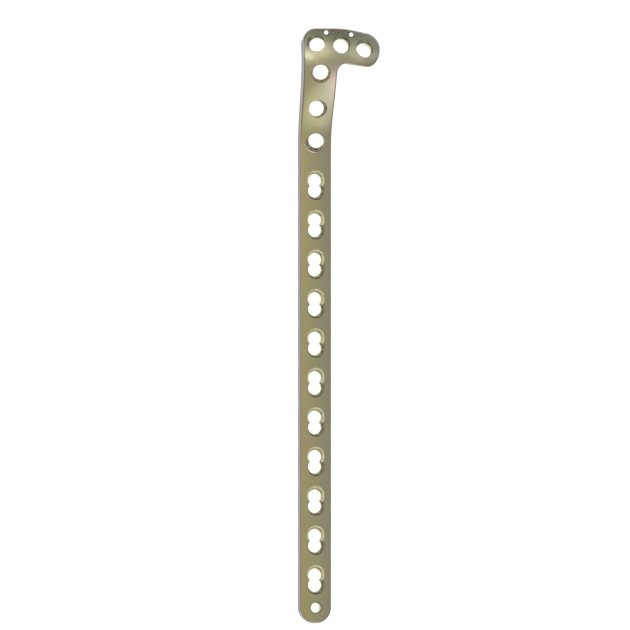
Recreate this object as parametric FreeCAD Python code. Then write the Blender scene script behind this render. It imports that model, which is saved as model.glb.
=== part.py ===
import FreeCAD, Part
import math
import os
from FreeCAD import Vector

# Contoured locking bone plate for the outer side of the upper shin bone, one piece of titanium alloy.
# All sizes in mm. The plate lies on its bone side. Y runs up the shaft to the head, the foot of
# the L points to +X, and Z is the plate's outward side. The origin is where the axis of the round
# hole in the tip meets the bone side.

# Plate blank
THICKNESS = 4.5
HALF_WIDTH = 7.4             # shaft
NOSE_Y = -7.15               # end of the round nose, just past the tip hole
BONE_RADIUS = 48.0           # hollow of the bone side across the plate
OUTER_EDGE_ROUND = 0.8

# Contour of the spine: straight shaft, S-bend of the neck, head curved back over the condyle
RISE_START_Y = 212.0
RISE_END_Y = 252.0
RISE = 10.8
HEAD_START_Y = 248.0
HEAD_CURVATURE = 0.040       # 1 over the radius of the bend that brings the head back
FOOT_LEAD = 0.25             # the foot starts to curve back this much sooner for each mm of X
CREST_SHIFT = 9.0            # how far the crest of the hollow moves towards the foot in the head
CREST_START_Y = 212.0

# Outline in plan, where the walls meet the bone side: corner x, y and the radius that rounds it
FLARE_BLEND = 400.0          # long blends where the neck starts to widen
OUTLINE = (
    (-HALF_WIDTH, NOSE_Y, HALF_WIDTH),
    (HALF_WIDTH, NOSE_Y, HALF_WIDTH),
    (HALF_WIDTH, 214.0, FLARE_BLEND),
    (8.2, 248.6, 3.4),               # inner corner of the L
    (28.5, 246.1, 6.8),              # foot, lower corner
    (30.1, 258.3, 7.2),              # foot, upper corner
    (12.0, 262.2, 40.0),             # upper rim falls away towards the foot
    (-7.6, 262.7, 6.0),              # outer corner of the L
    (-HALF_WIDTH, 236.0, FLARE_BLEND),
)
LEAN_START_Y = 244.0         # past this the walls lean with the head

# Combination holes of the shaft: a locking lobe towards the tip, a compression lobe towards the head
COMBO_COUNT = 11
COMBO_PITCH = 18.0
COMBO_FIRST_Y = 12.6
LOBE_SPACING = 4.5
COMBO_RADIUS = 3.08          # straight wall of both lobes
COMBO_RIM = 4.3

# Compression lobe: ball seat for the screw head, drawn out into a short ramp
SEAT_RADIUS = 3.95
SEAT_LIFT = 0.2              # centre of the ball above the outer side
RAMP_RUN = 0.75
RAMP_RISE = 0.3

# Locking seats: rim, taper, then a straight stretch down to the bone side
TAPER_WIDENING = 0.55        # how much the taper adds to the straight wall's radius
TAPER_LENGTH = 2.4
RIM_DEPTH = 0.5              # flare between the rim and the taper

# Round locking holes: place on the bone side, lean of the axis in X and Y for each mm of rise
ROUND_RADIUS = 3.5
ROUND_RIM = 4.35
ROUND_SINK = 0.25            # the rim goes straight in this far before the flare
ROUND_HOLES = (
    (-1.0, 256.6, -0.33, 0.385),     # head, corner side
    (9.9, 255.5, -0.04, 0.28),       # head, middle
    (20.1, 253.6, -0.02, 0.31),      # head, foot
    (1.1, 244.7, -0.15, -0.20),      # neck, upper
    (0.4, 229.0, 0.0, -0.12),        # neck, middle
    (-0.3, 212.3, -0.35, -0.325),    # neck, lower, aimed up into the condyle
)

TIP_HOLE_RADIUS = 2.35
TIP_HOLE_CHAMFER = 0.35

# Wire holes along the head's upper rim
WIRE_RADIUS = 1.05
WIRE_RIM = 1.5
WIRE_HOLES = ((3.4, 260.5, -0.16, 0.12), (14.4, 259.4, -0.16, 0.12))

# Undercuts of the bone side, between the shaft holes
UNDERCUT_DEPTH = 0.62        # at the long edges
UNDERCUT_LENGTH = 10.0

# Working sizes: the grid of points that shapes the two faces, and how far cutters reach
SHEET_COLUMNS = 9
SHEET_COLUMN_STEP = 6.5
SHEET_LEFT_X = -13.0
SHEET_ROWS = 51
SHEET_ROW_STEP = 6.0
SHEET_LOW_Y = -18.0
SHEET_DEPTH = 60.0
WALL_LOW_Z = -8.0
WALL_HIGH_Z = 24.0
REACH = 12.0                 # past both faces of the plate
OVERCUT = 0.15               # flares run this far past a face
WALL_TILT = 0.6              # most that the Z of a wall's normal may be
FACE_TILT = 0.75             # least that the Z of a face's normal may be


def smooth_step(t):
    t = min(max(t, 0.0), 1.0)
    return t * t * (3.0 - 2.0 * t)


def crest_x(y):
    return CREST_SHIFT * smooth_step((y - CREST_START_Y) / (RISE_END_Y - CREST_START_Y))


def bone_side_z(x, y):
    rise = RISE * smooth_step((y - RISE_START_Y) / (RISE_END_Y - RISE_START_Y))
    past = max(y - (HEAD_START_Y - FOOT_LEAD * x), 0.0)
    across = x - crest_x(y)
    hollow = BONE_RADIUS - math.sqrt(BONE_RADIUS ** 2 - across ** 2)
    return rise - HEAD_CURVATURE * past ** 2 / 2.0 - hollow


def slopes(x, y):
    """Slope of the bone side along X and along Y."""
    step = 0.05
    slope_x = (bone_side_z(x + step, y) - bone_side_z(x - step, y)) / (2 * step)
    slope_y = (bone_side_z(x, y + step) - bone_side_z(x, y - step)) / (2 * step)
    return slope_x, slope_y


def on_bone_side(x, y):
    return Vector(x, y, bone_side_z(x, y))


def on_outer_side(x, y):
    slope_x, slope_y = slopes(x, y)
    return on_bone_side(x, y) + Vector(-slope_x, -slope_y, 1.0).normalize() * THICKNESS


def sheet(place):
    """Smooth sheet through the points that place(x, y) gives over a grid wider than the plate."""
    columns = [SHEET_LEFT_X + SHEET_COLUMN_STEP * i for i in range(SHEET_COLUMNS)]
    rows = [SHEET_LOW_Y + SHEET_ROW_STEP * j for j in range(SHEET_ROWS)]
    surface = Part.BSplineSurface()
    surface.interpolate([[place(x, y) for y in rows] for x in columns])
    return surface.toShape()


def rounded_outline(corners, z):
    """Closed outline at height z from corners (x, y, radius), joined by tangent arcs."""
    count = len(corners)
    cuts = []
    for i in range(count):
        before, here, after = [
            Vector(corners[k % count][0], corners[k % count][1], z) for k in (i - 1, i, i + 1)]
        to_before = (before - here).normalize()
        to_after = (after - here).normalize()
        half = to_before.getAngle(to_after) / 2.0
        radius = corners[i][2]
        run = radius / math.tan(half)
        middle = (to_before + to_after).normalize()
        arc_middle = here + middle * (radius / math.sin(half) - radius)
        cuts.append((here + to_before * run, arc_middle, here + to_after * run))
    edges = []
    for i in range(count):
        start, arc_middle, end = cuts[i]
        edges.append(Part.Arc(start, arc_middle, end).toShape())
        following = cuts[(i + 1) % count][0]
        if end.distanceToPoint(following) > 1e-3:
            edges.append(Part.LineSegment(end, following).toShape())
    return Part.Wire(edges)


def walls():
    """Prism of the plan outline whose walls stand square to the spine, so they lean with the head."""
    outlines = []
    for z in (WALL_LOW_Z, WALL_HIGH_Z):
        moved = []
        for x, y, radius in OUTLINE:
            lean = -slopes(x, y)[1] if y > LEAN_START_Y else 0.0
            moved.append((x, y + lean * (z - bone_side_z(x, y)), radius))
        outlines.append(rounded_outline(moved, z))
    return Part.makeLoft(outlines, True, True)


def blank():
    depth = Vector(0, 0, -SHEET_DEPTH)
    below_outer = sheet(on_outer_side).extrude(depth)
    below_bone = sheet(on_bone_side).extrude(depth)
    return walls().common(below_outer).cut(below_bone).Solids[0]


def turned(profile, place, axis):
    """Cutter turned about an axis: profile is (radius, height above the outer side), top to bottom."""
    points = [Vector(0, 0, profile[0][1])]
    points += [Vector(radius, 0, height) for radius, height in profile]
    points.append(Vector(0, 0, profile[-1][1]))
    cutter = Part.Face(Part.makePolygon(points + points[:1])).revolve(Vector(), Vector(0, 0, 1), 360)
    cutter.Placement = FreeCAD.Placement(place, FreeCAD.Rotation(Vector(0, 0, 1), axis))
    return cutter


def flared(inner, depth, rim):
    """Flare from a radius at a depth to the rim on the face, carried OVERCUT past the face."""
    wide = rim + OVERCUT * (rim - inner) / depth
    return [(wide, REACH), (wide, OVERCUT), (inner, -depth)]


def locking_seat(entry, place, axis):
    """Taper and straight wall under an entry, whose last point is the top of the taper."""
    top, height = entry[-1]
    straight = top - TAPER_WIDENING
    return turned(entry + [(straight, height - TAPER_LENGTH), (straight, -REACH)], place, axis)


def combination_hole(y):
    up = Vector(0, 0, 1)
    half = LOBE_SPACING / 2.0
    lock = Vector(0, y - half, THICKNESS)
    press = Vector(0, y + half, THICKNESS)
    ball = press + Vector(0, 0, SEAT_LIFT)
    lobes = [
        locking_seat(flared(COMBO_RADIUS + TAPER_WIDENING, RIM_DEPTH, COMBO_RIM), lock, up),
        turned([(COMBO_RADIUS, OVERCUT), (COMBO_RADIUS, -REACH)], press, up),
        Part.makeSphere(SEAT_RADIUS, ball),
        Part.makeSphere(SEAT_RADIUS, ball + Vector(0, RAMP_RUN, RAMP_RISE)),
    ]
    return lobes[0].fuse(lobes[1:])


def round_hole(hole):
    x, y, lean_x, lean_y = hole
    axis = Vector(lean_x, lean_y, 1.0).normalize()
    entry = [(ROUND_RIM, REACH), (ROUND_RIM, -ROUND_SINK),
             (ROUND_RADIUS + TAPER_WIDENING, -ROUND_SINK - RIM_DEPTH)]
    return locking_seat(entry, on_outer_side(x, y), axis)


def wire_hole(hole):
    x, y, lean_x, lean_y = hole
    axis = Vector(lean_x, lean_y, 1.0).normalize()
    bore = flared(WIRE_RADIUS, WIRE_RIM - WIRE_RADIUS, WIRE_RIM) + [(WIRE_RADIUS, -REACH)]
    return turned(bore, on_outer_side(x, y), axis)


def tip_hole():
    rim = TIP_HOLE_RADIUS + TIP_HOLE_CHAMFER
    bore = flared(TIP_HOLE_RADIUS, TIP_HOLE_CHAMFER, rim) + [(TIP_HOLE_RADIUS, -REACH)]
    return turned(bore, Vector(0, 0, THICKNESS), Vector(0, 0, 1))


def undercuts():
    edge_z = bone_side_z(HALF_WIDTH, 0)
    radius = ((UNDERCUT_LENGTH / 2) ** 2 + UNDERCUT_DEPTH ** 2) / (2 * UNDERCUT_DEPTH)
    width = 4 * HALF_WIDTH
    cutters = []
    for n in range(COMBO_COUNT - 1):
        y = COMBO_FIRST_Y + (n + 0.5) * COMBO_PITCH
        start = Vector(-width / 2, y, edge_z + UNDERCUT_DEPTH - radius)
        cutters.append(Part.makeCylinder(radius, width, start, Vector(1, 0, 0)))
    return Part.makeCompound(cutters)


def outer_rim(solid):
    """Edges between a wall and the outer side.

    A wall's normal lies nearly flat, and a face's normal stands nearly upright.
    """
    found = []
    for edge in solid.Edges:
        middle = edge.valueAt((edge.FirstParameter + edge.LastParameter) / 2)
        if middle.z - bone_side_z(middle.x, middle.y) < THICKNESS / 2:
            continue
        tilts = []
        for face in solid.ancestorsOfType(edge, Part.Face):
            tilts.append(abs(face.normalAt(*face.Surface.parameter(middle)).z))
        if len(tilts) == 2 and min(tilts) < WALL_TILT and max(tilts) > FACE_TILT:
            found.append(edge)
    return found


os.makedirs("parts", exist_ok=True)
plate = blank()
plate = plate.makeFillet(OUTER_EDGE_ROUND, outer_rim(plate))
plate = plate.cut(undercuts()).Solids[0]
holes = [combination_hole(COMBO_FIRST_Y + n * COMBO_PITCH) for n in range(COMBO_COUNT)]
holes += [round_hole(hole) for hole in ROUND_HOLES]
holes += [wire_hole(hole) for hole in WIRE_HOLES]
holes.append(tip_hole())
plate = plate.cut(holes).Solids[0]
plate.exportStep("parts/bone_plate.step")
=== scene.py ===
import math

import bmesh
import bpy
from mathutils import Matrix, Quaternion, Vector


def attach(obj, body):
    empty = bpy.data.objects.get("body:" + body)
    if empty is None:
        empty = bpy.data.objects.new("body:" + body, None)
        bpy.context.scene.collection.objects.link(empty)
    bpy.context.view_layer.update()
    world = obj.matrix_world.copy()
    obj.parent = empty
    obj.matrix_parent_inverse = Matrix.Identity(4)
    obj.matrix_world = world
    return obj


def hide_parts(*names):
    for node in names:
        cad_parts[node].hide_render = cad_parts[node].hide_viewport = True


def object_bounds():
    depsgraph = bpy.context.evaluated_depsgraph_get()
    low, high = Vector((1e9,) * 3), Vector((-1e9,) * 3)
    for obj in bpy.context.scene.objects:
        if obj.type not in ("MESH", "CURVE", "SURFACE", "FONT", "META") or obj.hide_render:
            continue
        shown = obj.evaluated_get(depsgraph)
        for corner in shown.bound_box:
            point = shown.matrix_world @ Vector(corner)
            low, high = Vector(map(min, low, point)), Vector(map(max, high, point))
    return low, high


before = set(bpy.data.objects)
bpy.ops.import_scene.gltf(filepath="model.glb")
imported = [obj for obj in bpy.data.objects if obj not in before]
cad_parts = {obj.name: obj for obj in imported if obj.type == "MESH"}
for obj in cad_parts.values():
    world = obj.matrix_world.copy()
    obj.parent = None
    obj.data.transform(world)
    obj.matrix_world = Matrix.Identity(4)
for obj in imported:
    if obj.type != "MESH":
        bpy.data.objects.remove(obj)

cad_low, cad_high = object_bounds()


# Plate blank: titanium alloy 4.5 mm thick, milled to the L-shaped outline, crowned across its width,
# with an S-bend in the neck and the head curled back towards the bone. It lies on its bone side.
# Sizes are in millimetres until the finished plate is scaled to metres.
THICKNESS = 4.5
HALF_WIDTH = 7.4
NOSE_Y = -7.15
BONE_RADIUS = 48.0
OUTER_EDGE_ROUND = 0.8
BONE_EDGE_ROUND = 0.3
RISE_START_Y = 212.0
RISE_END_Y = 252.0
RISE = 10.8
HEAD_START_Y = 248.0
HEAD_CURVATURE = 0.040
FOOT_LEAD = 0.25
CREST_SHIFT = 9.0
CREST_START_Y = 212.0
FLARE_BLEND = 400.0
OUTLINE = (
    (-HALF_WIDTH, NOSE_Y, HALF_WIDTH),
    (HALF_WIDTH, NOSE_Y, HALF_WIDTH),
    (HALF_WIDTH, 214.0, FLARE_BLEND),
    (8.2, 248.6, 3.4),
    (28.5, 246.1, 6.8),
    (30.1, 258.3, 7.2),
    (12.0, 262.2, 40.0),
    (-7.6, 262.7, 6.0),
    (-HALF_WIDTH, 236.0, FLARE_BLEND),
)
LEAN_START_Y = 240.0         # the walls lean with the head from here
LEAN_FULL_Y = 246.0
WALL_ROUNDS = 8              # rounds in which a wall's upper end settles
ARC_SEGMENTS = 16
COLUMN_STEP = 1.3            # spacing of the plate's mesh lines, fine enough for its bends
SHAFT_ROW_STEP = 4.5
HEAD_ROW_STEP = 1.5
HEAD_ROWS_LEAD = 4.0         # the close rows start this far before the rise
HEAD_TOP_Y = 263.0
FOOT_END_X = 30.0
SAME_PLACE = 1e-4            # heights and distances smaller than this count as none


def smooth_step(t):
    t = min(max(t, 0.0), 1.0)
    return t * t * (3.0 - 2.0 * t)


def bone_side_z(x, y):
    """Height of the bone side above a place in plan."""
    rise = RISE * smooth_step((y - RISE_START_Y) / (RISE_END_Y - RISE_START_Y))
    past = max(y - (HEAD_START_Y - FOOT_LEAD * x), 0.0)
    crest = CREST_SHIFT * smooth_step((y - CREST_START_Y) / (RISE_END_Y - CREST_START_Y))
    hollow = BONE_RADIUS - math.sqrt(BONE_RADIUS ** 2 - (x - crest) ** 2)
    return rise - HEAD_CURVATURE * past ** 2 / 2.0 - hollow


def slopes(x, y):
    step = 0.05
    slope_x = (bone_side_z(x + step, y) - bone_side_z(x - step, y)) / (2 * step)
    slope_y = (bone_side_z(x, y + step) - bone_side_z(x, y - step)) / (2 * step)
    return slope_x, slope_y


def on_outer_side(x, y):
    """Point of the outer side, square above a place on the bone side."""
    slope_x, slope_y = slopes(x, y)
    outward = Vector((-slope_x, -slope_y, 1.0)).normalized()
    return Vector((x, y, bone_side_z(x, y))) + outward * THICKNESS


def up_the_wall(x, y):
    """Point of the outer side that the plate's wall reaches from a place on the bone side."""
    low = bone_side_z(x, y)
    lean = -slopes(x, y)[1] * smooth_step((y - LEAN_START_Y) / (LEAN_FULL_Y - LEAN_START_Y))
    foot = Vector((x, y))
    high = low + THICKNESS
    for _ in range(WALL_ROUNDS):
        target = Vector((x, y + lean * (high - low)))
        point = on_outer_side(foot.x, foot.y)
        foot += target - point.xy
        high = point.z
    return on_outer_side(foot.x, foot.y)


plate_mesh = bmesh.new()
corners = [plate_mesh.verts.new((x, y, 0.0)) for x, y, radius in OUTLINE]
plate_mesh.faces.new(corners)
for corner, (x, y, radius) in zip(corners, OUTLINE):
    ways = [edge.other_vert(corner).co - corner.co for edge in corner.link_edges]
    run = radius / math.tan(ways[0].angle(ways[1]) / 2.0)
    bmesh.ops.bevel(plate_mesh, geom=[corner], offset=run, offset_type="OFFSET", segments=ARC_SEGMENTS,
                    profile=0.5, affect="VERTICES", material=-1)
bmesh.ops.remove_doubles(plate_mesh, verts=plate_mesh.verts, dist=0.02)
raised = bmesh.ops.extrude_face_region(plate_mesh, geom=plate_mesh.faces[:])["geom"]
raised = [item for item in raised if isinstance(item, bmesh.types.BMVert)]
bmesh.ops.translate(plate_mesh, verts=raised, vec=(0.0, 0.0, THICKNESS))
bmesh.ops.recalc_face_normals(plate_mesh, faces=plate_mesh.faces)
for height, rounding, segments in ((THICKNESS, OUTER_EDGE_ROUND, 6), (0.0, BONE_EDGE_ROUND, 5)):
    rim = [edge for edge in plate_mesh.edges if all(abs(v.co.z - height) < SAME_PLACE for v in edge.verts)]
    bmesh.ops.bevel(plate_mesh, geom=rim, offset=rounding, offset_type="OFFSET", segments=segments,
                    profile=0.5, affect="EDGES", material=-1)


def cut_lines(mesh, axis, places):
    """Cuts the mesh along lines square to an axis, so that it can bend there."""
    for place in places:
        everything = mesh.verts[:] + mesh.edges[:] + mesh.faces[:]
        bmesh.ops.bisect_plane(mesh, geom=everything, plane_co=axis * place, plane_no=axis, dist=SAME_PLACE)


column_count = int((FOOT_END_X + HALF_WIDTH) / COLUMN_STEP)
columns = [-HALF_WIDTH + COLUMN_STEP * n for n in range(1, column_count)]
shaft_row_count = int(RISE_START_Y / SHAFT_ROW_STEP)
rows = [SHAFT_ROW_STEP * n for n in range(1, shaft_row_count)]
head_row_count = int((HEAD_TOP_Y + HEAD_ROWS_LEAD - RISE_START_Y) / HEAD_ROW_STEP)
rows += [RISE_START_Y - HEAD_ROWS_LEAD + HEAD_ROW_STEP * n for n in range(head_row_count)]
cut_lines(plate_mesh, Vector((1.0, 0.0, 0.0)), columns)
cut_lines(plate_mesh, Vector((0.0, 1.0, 0.0)), rows)
for vert in plate_mesh.verts:
    x, y, height = vert.co
    bottom = Vector((x, y, bone_side_z(x, y)))
    vert.co = bottom.lerp(up_the_wall(x, y), height / THICKNESS)


def as_object(name, mesh):
    data = bpy.data.meshes.new(name)
    mesh.to_mesh(data)
    mesh.free()
    piece = bpy.data.objects.new(name, data)
    bpy.context.scene.collection.objects.link(piece)
    return piece


plate = as_object("bone_plate_finished", plate_mesh)


# Combination holes: cut by milling and thread-milling. Each has a locking lobe towards the tip, with a
# conical thread for a locking screw head, and a compression lobe towards the head, with a ball seat
# drawn out into a ramp on which a plain screw head slides down.
COMBO_COUNT = 11
COMBO_PITCH = 18.0
COMBO_FIRST_Y = 12.6
LOBE_SPACING = 4.5
COMBO_RADIUS = 3.08
COMBO_RIM = 4.3
SEAT_RADIUS = 3.95
SEAT_LIFT = 0.2
RAMP_RUN = 0.75
RAMP_RISE = 0.3
TAPER_WIDENING = 0.55
TAPER_TOP_DEPTH = 0.5
TAPER_END_DEPTH = 2.9
BEVEL_STEPS = ((0.6, 0.32), (0.9, 0.68))     # shares of the bevel's width and depth where it gets steeper
SHADED_BEVEL_LIFT = 0.2        # the bevel takes the painted shade from this height above the thread
THREAD_PITCH = 0.9
THREAD_DEPTH = 0.28
THREAD_FADE = 0.2            # the thread runs out over this height at either end
THREAD_SAMPLES = 8           # mesh rings for each turn of the thread
ROOT_SHADE_SHARE = 0.55            # from this height of the saw on, a thread's flank counts as its root, which takes the painted shade
ROOT_SHADE_SLOT = 3
TURN_SEGMENTS = 64
ABOVE = 6.0                  # cutters reach this far past the outer side
BELOW = 4.0                  # and this far past the bone side
OVERCUT = 0.15               # an entry is cut from this far above the surface
UP = Vector((0.0, 0.0, 1.0))


def thread_wave(t):
    """Saw of a milled thread: 0 on the crest, 1 in the root."""
    t -= math.floor(t)
    return min(2.0 * t, 2.0 - 2.0 * t)


def turned(profile, place, axis, thread_zone=(0.0, 0.0)):
    """Closed cutter turned about an axis through place; profile runs down as (radius, height).

    The thread fills the zone. Its roots and the upper part of the bevel above it get a dark tone of painted
    shade, and so does the countersink of a plain hole, whose zone has no height. In the roots it also stands
    for a darker oxide.
    """
    cutter = bmesh.new()
    line = [(0.0, profile[0][1])] + profile + [(0.0, profile[-1][1])]
    points = [cutter.verts.new((radius, 0.0, height)) for radius, height in line]
    edges = [cutter.edges.new(pair) for pair in zip(points, points[1:])]
    bmesh.ops.spin(cutter, geom=points + edges, cent=(0, 0, 0), axis=(0, 0, 1), angle=2 * math.pi,
                   steps=TURN_SEGMENTS, use_merge=True)
    bmesh.ops.remove_doubles(cutter, verts=cutter.verts, dist=SAME_PLACE)
    bmesh.ops.recalc_face_normals(cutter, faces=cutter.faces)
    low, high = thread_zone
    for vert in cutter.verts:
        if low < vert.co.z < high:
            radius = vert.co.xy.length
            turn = math.atan2(vert.co.y, vert.co.x) / (2 * math.pi)
            fade = min((high - vert.co.z) / THREAD_FADE, (vert.co.z - low) / THREAD_FADE, 1.0)
            deeper = THREAD_DEPTH * fade * thread_wave(vert.co.z / THREAD_PITCH - turn)
            vert.co.xy *= (radius + deeper) / radius
    # Painted shade: faces in the thread's roots, and on the bevel or countersink just under the surface, go
    # to the dark slot.
    for face in cutter.faces:
        middle = face.calc_center_median()
        turn = math.atan2(middle.y, middle.x) / (2 * math.pi)
        in_shaded_root = low < middle.z < high and thread_wave(middle.z / THREAD_PITCH - turn) > ROOT_SHADE_SHARE
        if in_shaded_root or high + SHADED_BEVEL_LIFT < middle.z < 0.0:
            face.material_index = ROOT_SHADE_SLOT
    lean = UP.rotation_difference(axis).to_matrix().to_4x4()
    bmesh.ops.transform(cutter, verts=cutter.verts, matrix=Matrix.Translation(place) @ lean)
    data = bpy.data.meshes.new("cutter")
    cutter.to_mesh(data)
    cutter.free()
    return data


def locking_seat(place, axis, radius, entry):
    """Entry, conical thread, then a short straight wall down to the bone side.

    entry is the profile from above the plate down to the rim's own edge.
    """
    top = radius + TAPER_WIDENING
    rim, rim_height = entry[-1]
    start = rim_height - TAPER_TOP_DEPTH
    end = rim_height - TAPER_END_DEPTH
    bevel = [(rim - in_share * (rim - top), rim_height - down_share * TAPER_TOP_DEPTH)
             for in_share, down_share in BEVEL_STEPS]
    profile = entry + bevel + [(top, start)]
    rings = int((start - end) / THREAD_PITCH * THREAD_SAMPLES)
    for n in range(1, rings + 1):
        profile.append((top - TAPER_WIDENING * n / rings, start - (start - end) * n / rings))
    profile.append((radius, -THICKNESS - BELOW))
    return turned(profile, place, axis, (end, start))


def slid_ball(place, slide):
    """Ball cutter moved from a place along a short slide, so that the seat runs out into a ramp."""
    cutter = bmesh.new()
    bmesh.ops.create_uvsphere(cutter, u_segments=TURN_SEGMENTS, v_segments=TURN_SEGMENTS // 2,
                              radius=SEAT_RADIUS)
    leading = [vert for vert in cutter.verts if vert.co.z > SAME_PLACE]
    bmesh.ops.translate(cutter, verts=leading, vec=(0.0, 0.0, slide.length))
    lean = UP.rotation_difference(slide).to_matrix().to_4x4()
    bmesh.ops.transform(cutter, verts=cutter.verts, matrix=Matrix.Translation(place) @ lean)
    data = bpy.data.meshes.new("cutter")
    cutter.to_mesh(data)
    cutter.free()
    return data


threaded, straight, seats = [], [], []
combo_entry = [(COMBO_RIM + 2 * OVERCUT, ABOVE), (COMBO_RIM + 2 * OVERCUT, OVERCUT), (COMBO_RIM, 0.0)]
for n in range(COMBO_COUNT):
    y = COMBO_FIRST_Y + n * COMBO_PITCH
    lock = Vector((0.0, y - LOBE_SPACING / 2, THICKNESS))
    press = Vector((0.0, y + LOBE_SPACING / 2, THICKNESS))
    threaded.append(locking_seat(lock, UP, COMBO_RADIUS, combo_entry))
    straight.append(turned([(COMBO_RADIUS, OVERCUT), (COMBO_RADIUS, -THICKNESS - BELOW)], press, UP))
    seats.append(slid_ball(press + Vector((0.0, 0.0, SEAT_LIFT)), Vector((0.0, RAMP_RUN, RAMP_RISE))))


# Round locking holes of the head and neck: the same conical thread, larger, each drilled along its own
# axis so that the screws fan out under the joint. Place on the bone side and lean of the axis.
ROUND_RADIUS = 3.5
ROUND_RIM = 4.35
ROUND_SINK = 0.25            # the rim's straight entry reaches this deep
ROUND_HOLES = (
    (-1.0, 256.6, -0.33, 0.385),
    (9.9, 255.5, -0.04, 0.28),
    (20.1, 253.6, -0.02, 0.31),
    (1.1, 244.7, -0.15, -0.20),
    (0.4, 229.0, 0.0, -0.12),
    (-0.3, 212.3, -0.35, -0.325),
)
for x, y, lean_x, lean_y in ROUND_HOLES:
    axis = Vector((lean_x, lean_y, 1.0)).normalized()
    entry = [(ROUND_RIM, ABOVE), (ROUND_RIM, -ROUND_SINK)]
    threaded.append(locking_seat(on_outer_side(x, y), axis, ROUND_RADIUS, entry))


# Wire holes by the head's upper rim and the plain hole in the tip: drilled, with a small countersink.
WIRE_RADIUS = 1.05
WIRE_RIM = 1.5
WIRE_HOLES = ((3.4, 260.5, -0.16, 0.12), (14.4, 259.4, -0.16, 0.12))
TIP_HOLE_RADIUS = 2.35
TIP_HOLE_CHAMFER = 0.35


def countersunk(place, axis, radius, rim):
    sink = rim - radius
    profile = [(rim + OVERCUT, ABOVE), (rim + OVERCUT, OVERCUT), (radius, -sink),
               (radius, -THICKNESS - BELOW)]
    return turned(profile, place, axis, (-sink, -sink))


for x, y, lean_x, lean_y in WIRE_HOLES:
    axis = Vector((lean_x, lean_y, 1.0)).normalized()
    threaded.append(countersunk(on_outer_side(x, y), axis, WIRE_RADIUS, WIRE_RIM))
tip_centre = Vector((0.0, 0.0, THICKNESS))
threaded.append(countersunk(tip_centre, UP, TIP_HOLE_RADIUS, TIP_HOLE_RADIUS + TIP_HOLE_CHAMFER))


# Undercuts of the bone side: shallow hollows milled across the plate between the shaft holes, which
# leave the bone's skin its blood supply. They show as a slight wave along the long edges.
UNDERCUT_DEPTH = 0.62
UNDERCUT_LENGTH = 10.0
UNDERCUT_SEGMENTS = 160
undercuts = []
undercut_radius = ((UNDERCUT_LENGTH / 2) ** 2 + UNDERCUT_DEPTH ** 2) / (2 * UNDERCUT_DEPTH)
for n in range(COMBO_COUNT - 1):
    y = COMBO_FIRST_Y + (n + 0.5) * COMBO_PITCH
    z = bone_side_z(HALF_WIDTH, 0.0) + UNDERCUT_DEPTH - undercut_radius
    cutter = bmesh.new()
    bmesh.ops.create_cone(cutter, cap_ends=True, segments=UNDERCUT_SEGMENTS, radius1=undercut_radius,
                          radius2=undercut_radius, depth=4 * HALF_WIDTH)
    bmesh.ops.transform(cutter, verts=cutter.verts,
                        matrix=Matrix.Translation((0.0, y, z)) @ Matrix.Rotation(math.pi / 2, 4, "Y"))
    data = bpy.data.meshes.new("cutter")
    cutter.to_mesh(data)
    cutter.free()
    undercuts.append(data)


# Cutting: every cutter is taken out of the blank, one group at a time, then the plate is scaled to
# metres and its faces are shaded smooth between crisp machined edges.
SHARP_ANGLE = math.radians(20.0)
MERGE_DISTANCE = 0.002
MM = 0.001                   # one millimetre in metres


def cut(piece, cutters, slot):
    """Takes a group of cutters that don't overlap each other out of the piece.

    The cut faces get the material in the given slot, unless the cutter has given them one already.
    """
    joined = bmesh.new()
    for data in cutters:
        joined.from_mesh(data)
        bpy.data.meshes.remove(data)
    for face in joined.faces:
        face.material_index = face.material_index or slot
    tool = as_object("cutters", joined)
    for material in piece.data.materials:
        tool.data.materials.append(material)
    modifier = piece.modifiers.new("cut", "BOOLEAN")
    modifier.operation = "DIFFERENCE"
    modifier.solver = "EXACT"
    modifier.object = tool
    whole = bpy.data.meshes.new_from_object(piece.evaluated_get(bpy.context.evaluated_depsgraph_get()))
    piece.modifiers.clear()
    blank = piece.data
    piece.data = whole
    bpy.data.meshes.remove(blank)
    bpy.data.objects.remove(tool)


anodised = bpy.data.materials.new("anodised_titanium_with_painted_light")
threads = bpy.data.materials.new("thread_milled_titanium")
seated = bpy.data.materials.new("ball_milled_titanium")
roots = bpy.data.materials.new("thread_root_painted_shade")
for material in (anodised, threads, seated, roots):
    plate.data.materials.append(material)
# Slot 0 is the anodised skin, 1 the threads and drilled walls, 2 the ball seats and 3 the painted shade of
# the thread roots, bevels and countersinks.
for group, slot in ((undercuts[0::2], 0), (undercuts[1::2], 0), (straight, 1), (threaded, 1), (seats, 2)):
    cut(plate, group, slot)
finished = bmesh.new()
finished.from_mesh(plate.data)
bmesh.ops.remove_doubles(finished, verts=finished.verts, dist=MERGE_DISTANCE)
bmesh.ops.dissolve_degenerate(finished, edges=finished.edges, dist=MERGE_DISTANCE)
bmesh.ops.scale(finished, verts=finished.verts, vec=(MM, MM, MM))
finished.to_mesh(plate.data)
finished.free()
plate.data.polygons.foreach_set("use_smooth", [True] * len(plate.data.polygons))
plate.data.set_sharp_from_angle(angle=SHARP_ANGLE)
smoothing = plate.modifiers.new("even_shading", "WEIGHTED_NORMAL")
smoothing.keep_sharp = True


# Finish: titanium alloy, tumbled and anodised to an olive gold. The oxide is a thin clear layer, so the
# metal keeps its gloss, and edges that have rubbed show paler.
def srgb(code):
    """Linear colour of an sRGB hex code."""
    parts = [int(code[i:i + 2], 16) / 255.0 for i in (1, 3, 5)]
    return [c / 12.92 if c <= 0.04045 else ((c + 0.055) / 1.055) ** 2.4 for c in parts] + [1.0]


def add(tree, kind, links=(), **settings):
    """Adds a node: settings name its properties or input sockets, links are (socket, input name)."""
    node = tree.nodes.new(kind)
    for name, value in settings.items():
        if hasattr(node, name):
            setattr(node, name, value)
        else:
            node.inputs[name.replace("_", " ")].default_value = value
    for source, target in links:
        tree.links.new(source, node.inputs[target])
    return node


# The oxide's own olive, with a painted reflection across the crown: yellower on the left, greyer on the
# right.
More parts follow.
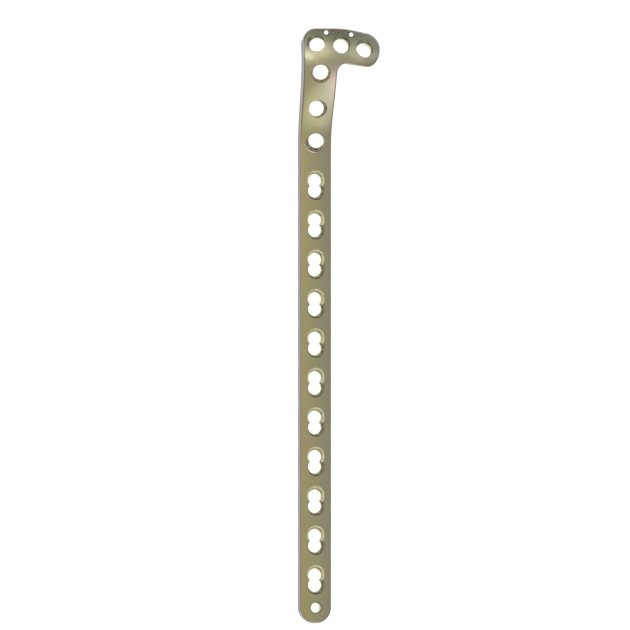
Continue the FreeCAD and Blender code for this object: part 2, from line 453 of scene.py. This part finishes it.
OLIVE_LEFT_REFLECTED = "#d8cd8f"       # olive oxide tone, yellower along the shaft's left edge: a painted reflection of the crown
OLIVE_RIGHT_REFLECTED = "#c2be9b"
OLIVE_REFLECTION_X = (-0.0074, 0.004)   # the first tone turns into the second between these, in metres
STRAW_HEAD_SHEEN = "#d0cca2"       # greyer on the head: the oxide's own tone, greyed further to paint a whiter sheen
STRAW_SHEEN_Y = (0.236, 0.254)
ROSE_NECK_HIGHLIGHT = "#fadcc8"        # a painted highlight, pale with a rose cast, where the neck turns into the foot
ROSE_HIGHLIGHT_X = (0.001, 0.0065)
ROSE_HIGHLIGHT_IN_Y = (0.226, 0.242)   # the painted highlight comes in and goes out between these
ROSE_HIGHLIGHT_OUT_Y = (0.249, 0.243)
OXIDE_CLOUD_MM = 16.0        # size of the faint rose, straw and green patches in the colour
OXIDE_CLOUD_DEPTH = 0.18
GRAIN_WIDTH_MM = 0.35        # polishing grain along the plate, drawn coarser than the real 0.05 mm
GRAIN_LENGTH_MM = 6.0
GRIT_MM = 0.45               # tumbling dimples, drawn coarse enough to show
GRIT_SHARE = 0.4
RELIEF_STRENGTH = 0.07
RELIEF_DEPTH = 0.00005
FACE_ROUGHNESS = (0.27, 0.33)
WALL_SHADE_TONE = "#b6b3b8"        # upright walls take a greyer tone: painted shade for the dim surroundings they reflect
WALL_SHADE_UPRIGHT = (0.6, 0.99)   # from all wall to all face, by how far a face looks straight up or down
WALL_SHADE_GRAZING = 0.45          # share of the grazing reflection that the walls keep, a painted shade
RUBBED_TONE = "#d9d5c3"
RUBBED_MOST = 0.6
RUBBED_TURN = (0.99, 0.86)   # cosines of the turn at an edge, from unworn to most worn
EDGE_WEAR_MM = 0.45
anodised.use_nodes = True
tree = anodised.node_tree
tree.nodes.clear()
place = add(tree, "ShaderNodeTexCoord")
split = add(tree, "ShaderNodeSeparateXYZ", [(place.outputs["Object"], "Vector")])
# Painted reflection: the shaft's tone turns from the yellower left to the greyer right.
across = add(tree, "ShaderNodeMapRange", [(split.outputs["X"], "Value")], From_Min=OLIVE_REFLECTION_X[0],
             From_Max=OLIVE_REFLECTION_X[1])
shaft_tone_reflected = add(tree, "ShaderNodeMix", [(across.outputs["Result"], "Factor")], data_type="RGBA")
shaft_tone_reflected.inputs["A"].default_value = srgb(OLIVE_LEFT_REFLECTED)
shaft_tone_reflected.inputs["B"].default_value = srgb(OLIVE_RIGHT_REFLECTED)
# Greyer head: a painted whitening of the head's sheen on top of the oxide's own tone.
up_neck = add(tree, "ShaderNodeMapRange", [(split.outputs["Y"], "Value")], From_Min=STRAW_SHEEN_Y[0],
              From_Max=STRAW_SHEEN_Y[1])
face_tone_reflected = add(tree, "ShaderNodeMix", [(up_neck.outputs["Result"], "Factor"),
                (shaft_tone_reflected.outputs["Result"], "A")], data_type="RGBA")
face_tone_reflected.inputs["B"].default_value = srgb(STRAW_HEAD_SHEEN)
# Painted highlight: a pale rose tone laid on the right of the neck where it turns into the foot.
neck_highlight_right = add(tree, "ShaderNodeMapRange", [(split.outputs["X"], "Value")], From_Min=ROSE_HIGHLIGHT_X[0],
                 From_Max=ROSE_HIGHLIGHT_X[1])
neck_highlight_low = add(tree, "ShaderNodeMapRange", [(split.outputs["Y"], "Value")], From_Min=ROSE_HIGHLIGHT_IN_Y[0],
               From_Max=ROSE_HIGHLIGHT_IN_Y[1])
neck_highlight_high = add(tree, "ShaderNodeMapRange", [(split.outputs["Y"], "Value")], From_Min=ROSE_HIGHLIGHT_OUT_Y[0],
                From_Max=ROSE_HIGHLIGHT_OUT_Y[1])
neck_highlight_part = add(tree, "ShaderNodeMath", [(neck_highlight_right.outputs["Result"], 0), (neck_highlight_low.outputs["Result"], 1)],
                operation="MULTIPLY")
neck_highlight_share = add(tree, "ShaderNodeMath", [(neck_highlight_part.outputs["Value"], 0), (neck_highlight_high.outputs["Result"], 1)],
                 operation="MULTIPLY")
rosy_highlight = add(tree, "ShaderNodeMix", [(neck_highlight_share.outputs["Value"], "Factor"),
           (face_tone_reflected.outputs["Result"], "A")], data_type="RGBA")
rosy_highlight.inputs["B"].default_value = srgb(ROSE_NECK_HIGHLIGHT)
cloud = add(tree, "ShaderNodeTexNoise", [(place.outputs["Object"], "Vector")], Detail=1.0,
            Scale=1000.0 / OXIDE_CLOUD_MM)
centred = add(tree, "ShaderNodeVectorMath", [(cloud.outputs["Color"], 0)], operation="SUBTRACT")
centred.inputs[1].default_value = (0.5, 0.5, 0.5)
cloud_tint = add(tree, "ShaderNodeVectorMath", [(centred.outputs["Vector"], 0)], operation="MULTIPLY_ADD")
cloud_tint.inputs[1].default_value = (OXIDE_CLOUD_DEPTH, OXIDE_CLOUD_DEPTH, OXIDE_CLOUD_DEPTH)
cloud_tint.inputs[2].default_value = (1.0, 1.0, 1.0)
clouded = add(tree, "ShaderNodeVectorMath", [(rosy_highlight.outputs["Result"], 0),
              (cloud_tint.outputs["Vector"], 1)], operation="MULTIPLY")
geometry = add(tree, "ShaderNodeNewGeometry")
# Painted shade on the walls: faces that stand upright take a greyer tone and a weaker grazing reflection.
facing = add(tree, "ShaderNodeSeparateXYZ", [(place.outputs["Normal"], "Vector")])
upright = add(tree, "ShaderNodeMath", [(facing.outputs["Z"], 0)], operation="ABSOLUTE")
wall = add(tree, "ShaderNodeMapRange", [(upright.outputs["Value"], "Value")], From_Min=WALL_SHADE_UPRIGHT[0],
           From_Max=WALL_SHADE_UPRIGHT[1], To_Min=1.0, To_Max=0.0)
wall_shaded = add(tree, "ShaderNodeMix", [(wall.outputs["Result"], "Factor"), (clouded.outputs["Vector"], "A")],
             data_type="RGBA")
wall_shaded.inputs["B"].default_value = srgb(WALL_SHADE_TONE)
softened = add(tree, "ShaderNodeBevel", Radius=EDGE_WEAR_MM / 1000.0)
turned_away = add(tree, "ShaderNodeVectorMath", [(softened.outputs["Normal"], 0),
                  (geometry.outputs["Normal"], 1)], operation="DOT_PRODUCT")
wear = add(tree, "ShaderNodeMapRange", [(turned_away.outputs["Value"], "Value")], From_Min=RUBBED_TURN[0],
           From_Max=RUBBED_TURN[1], To_Min=0.0, To_Max=RUBBED_MOST)
rubbed = add(tree, "ShaderNodeMix", [(wear.outputs["Result"], "Factor"), (wall_shaded.outputs["Result"], "A")],
             data_type="RGBA")
rubbed.inputs["B"].default_value = srgb(RUBBED_TONE)
along = add(tree, "ShaderNodeMapping", [(place.outputs["Object"], "Vector")])
along.inputs["Scale"].default_value = (1000.0 / GRAIN_WIDTH_MM, 1000.0 / GRAIN_LENGTH_MM,
                                       1000.0 / GRAIN_WIDTH_MM)
grain = add(tree, "ShaderNodeTexNoise", [(along.outputs["Vector"], "Vector")], Scale=1.0, Detail=3.0)
grit = add(tree, "ShaderNodeTexNoise", [(place.outputs["Object"], "Vector")], Detail=2.0,
           Scale=1000.0 / GRIT_MM)
relief = add(tree, "ShaderNodeMix", [(grain.outputs["Fac"], "A"), (grit.outputs["Fac"], "B")],
             data_type="FLOAT", Factor=GRIT_SHARE)
bump = add(tree, "ShaderNodeBump", [(relief.outputs["Result"], "Height")], Strength=RELIEF_STRENGTH,
           Distance=RELIEF_DEPTH)
gloss = add(tree, "ShaderNodeMapRange", [(grain.outputs["Fac"], "Value")], From_Min=0.3, From_Max=0.7,
            To_Min=FACE_ROUGHNESS[0], To_Max=FACE_ROUGHNESS[1])
# Painted shade: the walls keep only part of the grazing reflection.
grazing = add(tree, "ShaderNodeMapRange", [(wall.outputs["Result"], "Value")], To_Min=1.0,
              To_Max=WALL_SHADE_GRAZING)
grazing_shade_tone = add(tree, "ShaderNodeCombineColor",
                   [(grazing.outputs["Result"], name) for name in ("Red", "Green", "Blue")])
metal = add(tree, "ShaderNodeBsdfPrincipled", [(rubbed.outputs["Result"], "Base Color"),
            (gloss.outputs["Result"], "Roughness"), (grazing_shade_tone.outputs["Color"], "Specular Tint"),
            (bump.outputs["Normal"], "Normal")], Metallic=1.0)
add(tree, "ShaderNodeOutputMaterial", [(metal.outputs["BSDF"], "Surface")])


# Bores: milled and drilled after the blank was tumbled, so they keep fine tool rings and a clean pale glint
# on the thread crests. The roots of the threads take a dark tone: painted shade, with a darker oxide. The
# ball seats are satin from the ball cutter, so they look evenly pale.
BORE_TONE = "#dad5bd"
BORE_STAIN = "#b6b19a"
BORE_ROUGHNESS = 0.3
# Painted shade of the thread roots, upper bevels and countersinks, with a darker oxide in the roots.
ROOT_SHADE_TONE = "#74705f"
ROOT_SHADE_STAIN = "#585547"
ROOT_ROUGHNESS = 0.4
SEAT_TONE = "#e8e3c0"
SEAT_STAIN = "#d0caa2"
SEAT_ROUGHNESS = 0.45
STAIN_MM = 1.43              # size of the faint patches in the colour of a bore
RING_MM = 0.12               # height of one tool ring, drawn coarser than the real 0.03 mm
RING_LENGTH_MM = 25.0        # a ring changes little over this length
RING_STRENGTH = 0.15
RING_DEPTH = 0.00004
BORE_FINISHES = (
    (threads, BORE_TONE, BORE_STAIN, BORE_ROUGHNESS),
    (roots, ROOT_SHADE_TONE, ROOT_SHADE_STAIN, ROOT_ROUGHNESS),
    (seated, SEAT_TONE, SEAT_STAIN, SEAT_ROUGHNESS),
)
for finish, tone, stain, roughness in BORE_FINISHES:
    finish.use_nodes = True
    tree = finish.node_tree
    tree.nodes.clear()
    place = add(tree, "ShaderNodeTexCoord")
    stained = add(tree, "ShaderNodeTexNoise", [(place.outputs["Object"], "Vector")], Detail=3.0,
                  Scale=1000.0 / STAIN_MM)
    tones = add(tree, "ShaderNodeMix", [(stained.outputs["Fac"], "Factor")], data_type="RGBA")
    tones.inputs["A"].default_value = srgb(tone)
    tones.inputs["B"].default_value = srgb(stain)
    flat = add(tree, "ShaderNodeMapping", [(place.outputs["Object"], "Vector")])
    flat.inputs["Scale"].default_value = (1000.0 / RING_LENGTH_MM, 1000.0 / RING_LENGTH_MM, 1000.0 / RING_MM)
    rings = add(tree, "ShaderNodeTexNoise", [(flat.outputs["Vector"], "Vector")], Scale=1.0, Detail=2.0)
    scored = add(tree, "ShaderNodeBump", [(rings.outputs["Fac"], "Height")], Strength=RING_STRENGTH,
                 Distance=RING_DEPTH)
    level = add(tree, "ShaderNodeMapRange", [(stained.outputs["Fac"], "Value")], From_Min=0.3, From_Max=0.7,
                To_Min=roughness - 0.05, To_Max=roughness + 0.06)
    metal = add(tree, "ShaderNodeBsdfPrincipled", [(tones.outputs["Result"], "Base Color"),
                (level.outputs["Result"], "Roughness"), (scored.outputs["Normal"], "Normal")], Metallic=1.0)
    add(tree, "ShaderNodeOutputMaterial", [(metal.outputs["BSDF"], "Surface")])

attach(plate, "root")
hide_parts("bone_plate")


# Studio: a pale matt floor that glows a little, as on a light table, a dim sky, and soft boxes: large
# ones beyond the tip and on the right, a low one on the left, and two small ones close to the head.
PLATE_MIDDLE = Vector((0.0, 0.13, 0.0))
HEAD_MIDDLE = Vector((0.0, 0.252, 0.012))
FLOOR_SIZE = 6.0
FLOOR_GLOW = 0.8
floor_mesh = bmesh.new()
bmesh.ops.create_grid(floor_mesh, x_segments=1, y_segments=1, size=FLOOR_SIZE / 2)
bmesh.ops.translate(floor_mesh, verts=floor_mesh.verts, vec=(0.0, PLATE_MIDDLE.y, cad_low.z))
floor = as_object("floor", floor_mesh)
paper = bpy.data.materials.new("floor_matt_white")
paper.use_nodes = True
paper_shader = paper.node_tree.nodes["Principled BSDF"]
paper_shader.inputs["Base Color"].default_value = srgb("#f0f0f0")
paper_shader.inputs["Roughness"].default_value = 0.9
paper_shader.inputs["Emission Color"].default_value = srgb("#ffffff")
paper_shader.inputs["Emission Strength"].default_value = FLOOR_GLOW
floor.data.materials.append(paper)

SKY_TOP = 0.47
SKY_RIM = 0.16               # the room is darker low down, beyond the lamps
SKY_HEIGHTS = (0.45, 0.9)    # heights on a unit sphere between which the one turns into the other
world = bpy.data.worlds.new("studio")
world.use_nodes = True
sky = world.node_tree
sky_way = add(sky, "ShaderNodeTexCoord")
sky_split = add(sky, "ShaderNodeSeparateXYZ", [(sky_way.outputs["Generated"], "Vector")])
sky_level = add(sky, "ShaderNodeMapRange", [(sky_split.outputs["Z"], "Value")], From_Min=SKY_HEIGHTS[0],
                From_Max=SKY_HEIGHTS[1], To_Min=SKY_RIM, To_Max=SKY_TOP)
sky.links.new(sky_level.outputs["Result"], sky.nodes["Background"].inputs["Strength"])
sky.nodes["Background"].inputs["Color"].default_value = (1.0, 1.0, 1.0, 1.0)
bpy.context.scene.world = world

FAR = 2.0                    # distance of the lamps that light the whole plate
NEAR = 0.5                   # and of those that light only the head


def soft_box(name, turn, drop, width, height, radiance, roll=0.0, target=PLATE_MIDDLE, distance=FAR):
    """Soft box: turn is its compass angle from +X, drop its angle down from straight above the target."""
    data = bpy.data.lights.new(name, "AREA")
    data.shape = "RECTANGLE"
    data.size = width
    data.size_y = height
    data.energy = radiance * math.pi * width * height
    lamp = bpy.data.objects.new(name, data)
    turn, drop = math.radians(turn), math.radians(drop)
    way = Vector((math.cos(turn) * math.sin(drop), math.sin(turn) * math.sin(drop), math.cos(drop)))
    lamp.location = target + way * distance
    facing = (-way).to_track_quat("-Z", "Y")
    lamp.rotation_euler = (facing @ Quaternion((0.0, 0.0, 1.0), math.radians(roll))).to_euler()
    bpy.context.scene.collection.objects.link(lamp)


soft_box("soft_box_tip", -80.0, 54.0, 1.15, 1.75, 0.8)
soft_box("soft_box_left", 155.0, 21.5, 0.15, 0.12, 1.95, 0.0, HEAD_MIDDLE, NEAR)
soft_box("soft_box_low_left", 160.0, 62.0, 0.6, 0.3, 2.6)
soft_box("soft_box_head", 86.0, 27.0, 0.25, 0.05, 1.9, 70.0, HEAD_MIDDLE, NEAR)
soft_box("soft_box_right", 38.0, 56.0, 0.9, 1.25, 0.55)

VIEW_LEAN = math.radians(12.0)       # the camera stands this far to the left of straight above
VIEW_WIDTH = 0.28753                 # what the square picture spans
VIEW_CENTRE = Vector((0.00054, 0.13359, 0.0))
VIEW_DISTANCE = 1.5
lens = bpy.data.cameras.new("camera")
lens.type = "ORTHO"
lens.ortho_scale = VIEW_WIDTH
camera = bpy.data.objects.new("camera", lens)
towards = Vector((-math.sin(VIEW_LEAN), 0.0, math.cos(VIEW_LEAN)))
camera.location = VIEW_CENTRE + towards * VIEW_DISTANCE
camera.rotation_euler = (0.0, -VIEW_LEAN, 0.0)
bpy.context.scene.collection.objects.link(camera)
bpy.context.scene.camera = camera
bpy.context.scene.view_settings.view_transform = "Standard"
